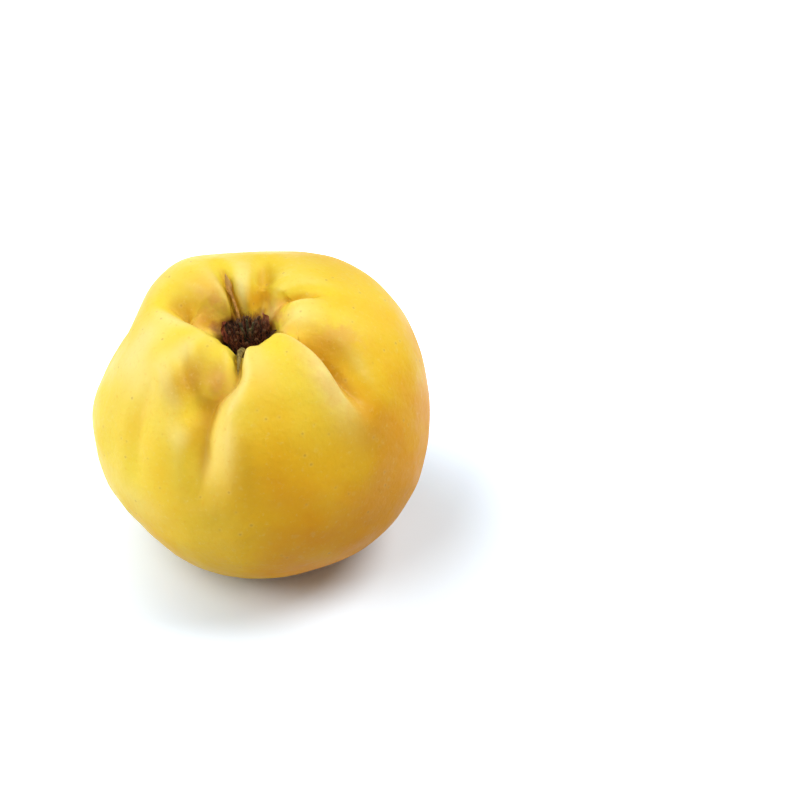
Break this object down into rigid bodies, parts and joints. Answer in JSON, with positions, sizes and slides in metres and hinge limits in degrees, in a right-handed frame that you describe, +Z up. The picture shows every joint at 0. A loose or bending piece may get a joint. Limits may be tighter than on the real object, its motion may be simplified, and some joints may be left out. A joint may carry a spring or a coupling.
{
  "type": "quince",
  "caption": "Ripe apple-shaped quince with furrowed shoulders, the dried calyx standing in its basin, resting on a small flat spot by the stem end.",
  "frame": {"origin": "on the ground, under the middle of the fruit's outline seen from above", "axes": "+Z up from the surface that the fruit rests on; the calyx end leans 12 degrees towards -Y, the front, and 3 degrees towards -X, the left"},
  "size_m": [0.0886, 0.0886, 0.0798],
  "materials": {
    "skin": "satin, slightly waxy",
    "sepal": "matt, dried",
    "stamen": "matt, dried",
    "stalk": "matt, broken"
  },
  "bodies": {
    "root": {"quince_fruit": "skin", "sepal_1": "sepal", "sepal_2": "sepal", "sepal_3": "sepal", "sepal_4": "sepal", "sepal_5": "sepal", "stamen_01": "stamen", "stamen_02": "stamen", "stamen_03": "stamen", "stamen_04": "stamen", "stamen_05": "stamen", "stamen_06": "stamen", "stamen_07": "stamen", "stamen_08": "stamen", "stamen_09": "stamen", "stamen_10": "stamen", "stamen_11": "stamen", "stamen_12": "stamen", "stamen_13": "stamen", "stamen_14": "stamen", "stamen_15": "stamen", "stamen_16": "stamen", "stamen_17": "stamen", "stamen_18": "stamen", "stamen_19": "stamen", "stamen_20": "stamen", "style_1": "stamen", "style_2": "stamen", "style_3": "stamen", "style_4": "stamen", "style_5": "stamen", "stalk_stub": "stalk"}
  },
  "joints": []
}
